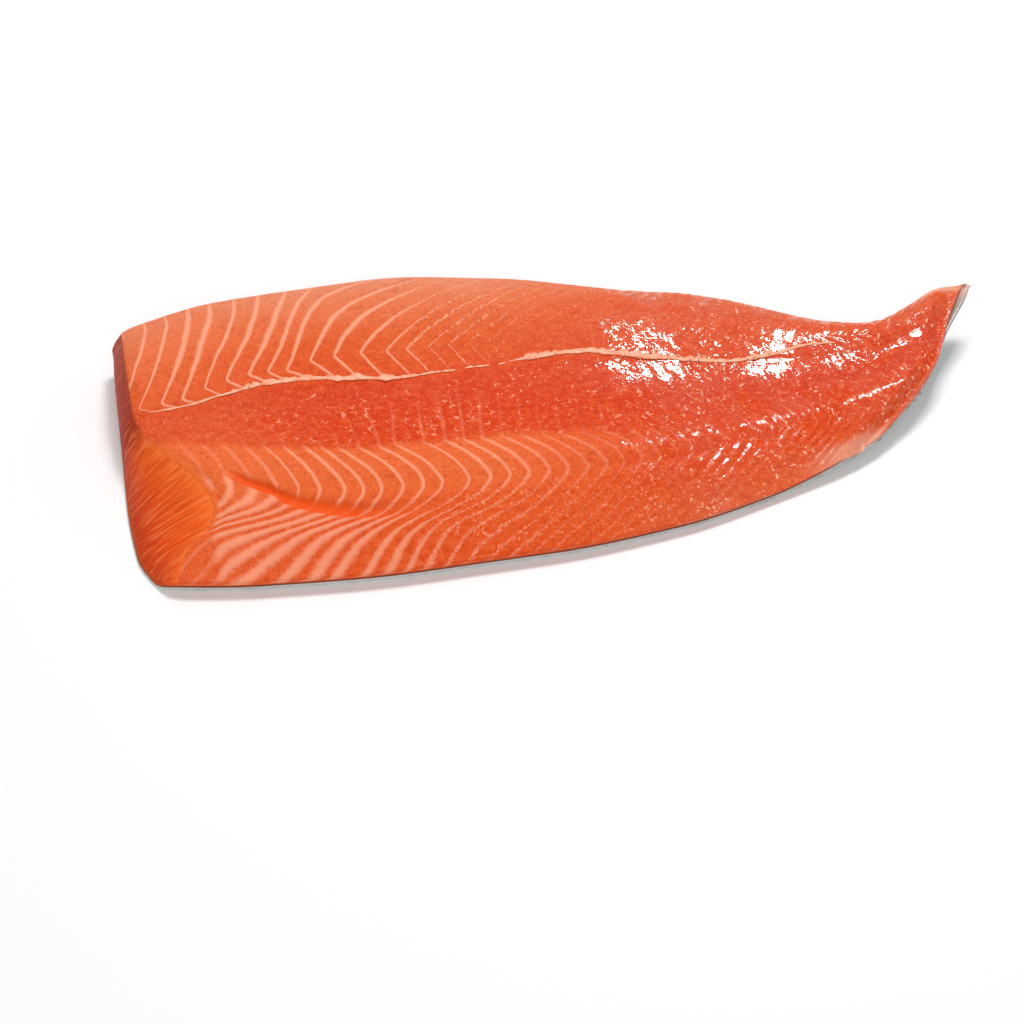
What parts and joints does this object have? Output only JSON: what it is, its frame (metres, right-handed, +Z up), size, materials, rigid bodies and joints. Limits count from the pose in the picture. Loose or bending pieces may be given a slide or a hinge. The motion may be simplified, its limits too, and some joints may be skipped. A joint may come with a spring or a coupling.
{
  "type": "raw salmon fillet",
  "caption": "Raw skin-on salmon fillet lying on its skin, slanted head cut, tail end tapering and curling up.",
  "frame": {"origin": "centre of the bounding box in X and Y, on the plane the fillet rests on", "axes": "+X from the head cut to the tail, +Y towards the back of the fish, +Z up out of the flesh side"},
  "size_m": [0.4166, 0.1726, 0.0367],
  "materials": {
    "flesh": "moist raw orange-red flesh with pale lines of connective tissue",
    "skin": "wet silver-grey fish skin with small scales"
  },
  "bodies": {
    "root": {"flesh": "flesh", "skin": "skin"}
  },
  "joints": []
}
